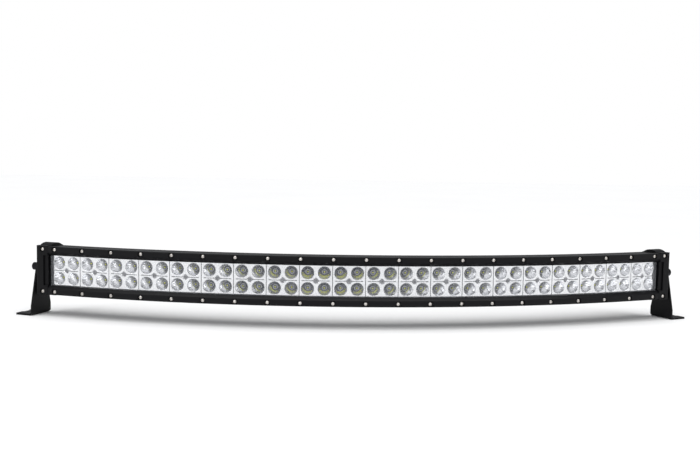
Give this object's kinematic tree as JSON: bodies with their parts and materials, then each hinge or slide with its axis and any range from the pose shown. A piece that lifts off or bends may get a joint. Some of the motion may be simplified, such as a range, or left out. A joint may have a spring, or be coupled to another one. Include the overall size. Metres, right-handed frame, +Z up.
{
  "type": "led light bar",
  "caption": "Curved double-row LED light bar with a finned black housing, metallised reflectors behind a clear lens, and a swivelling steel bracket at each end.",
  "frame": {"origin": "bottom centre of the whole box, level with the undersides of the feet", "axes": "+X along the chord between the ends, -Y towards the lens side, +Z up"},
  "size_m": [1.1486, 0.1776, 0.1215],
  "materials": {
    "housing_coat": "black powder coat on extruded aluminium",
    "rail_coat": "satin black coat on extruded aluminium",
    "cap_coat": "black powder coat on die-cast aluminium",
    "bracket_coat": "black powder coat on steel plate",
    "clear_lens": "clear hard-coated polycarbonate",
    "metallised_reflector": "vacuum-metallised moulding, bright silver",
    "board_white": "white solder mask on aluminium",
    "phosphor": "yellow phosphor under a clear dome",
    "driver_green": "green circuit board with black parts",
    "black_rubber": "black silicone rubber",
    "stainless": "plain stainless steel",
    "blackened_steel": "black oxide on steel",
    "zinc_steel": "dull zinc on steel"
  },
  "bodies": {
    "light_head": {"bezel_rail_lower": "rail_coat", "bezel_rail_upper": "rail_coat", "cable_grommet": "black_rubber", "cap_front_screws_left": "stainless", "cap_front_screws_right": "stainless", "cap_side_screws_left": "stainless", "cap_side_screws_right": "stainless", "driver_board_left": "driver_green", "driver_board_right": "driver_green", "end_cap_left": "cap_coat", "end_cap_right": "cap_coat", "end_gasket_left": "black_rubber", "end_gasket_right": "black_rubber", "housing": "housing_coat", "led_board_1": "board_white", "led_board_2": "board_white", "led_board_3": "board_white", "led_board_4": "board_white", "led_emitters": "phosphor", "lens": "clear_lens", "lens_gasket": "black_rubber", "pivot_bolt_left": "blackened_steel", "pivot_bolt_right": "blackened_steel", "pivot_washers_left": "blackened_steel", "pivot_washers_right": "blackened_steel", "rail_screws_lower": "stainless", "rail_screws_upper": "stainless", "reflector_screws": "zinc_steel", "reflector_tile_01": "metallised_reflector", "reflector_tile_02": "metallised_reflector", "reflector_tile_03": "metallised_reflector", "reflector_tile_04": "metallised_reflector", "reflector_tile_05": "metallised_reflector", "reflector_tile_06": "metallised_reflector", "reflector_tile_07": "metallised_reflector", "reflector_tile_08": "metallised_reflector", "reflector_tile_09": "metallised_reflector", "reflector_tile_10": "metallised_reflector", "reflector_tile_11": "metallised_reflector", "reflector_tile_12": "metallised_reflector", "reflector_tile_13": "metallised_reflector", "reflector_tile_14": "metallised_reflector", "reflector_tile_15": "metallised_reflector", "reflector_tile_16": "metallised_reflector", "reflector_tile_17": "metallised_reflector", "reflector_tile_18": "metallised_reflector", "reflector_tile_19": "metallised_reflector", "reflector_tile_20": "metallised_reflector", "spring_washer_left": "blackened_steel", "spring_washer_right": "blackened_steel"},
    "bracket_left": {"bracket_left": "bracket_coat"},
    "bracket_right": {"bracket_right": "bracket_coat"}
  },
  "joints": [
    {"name": "bracket_left_swivel", "type": "hinge", "parent": "light_head", "child": "bracket_left", "pos_m": [-0.53498, 0.05018, 0.08], "axis": [0.9179, -0.3968, 0], "range_deg": [-90, 90]},
    {"name": "bracket_right_swivel", "type": "hinge", "parent": "light_head", "child": "bracket_right", "pos_m": [0.53498, 0.05018, 0.08], "axis": [0.9179, 0.3968, 0], "range_deg": [-90, 90]}
  ]
}
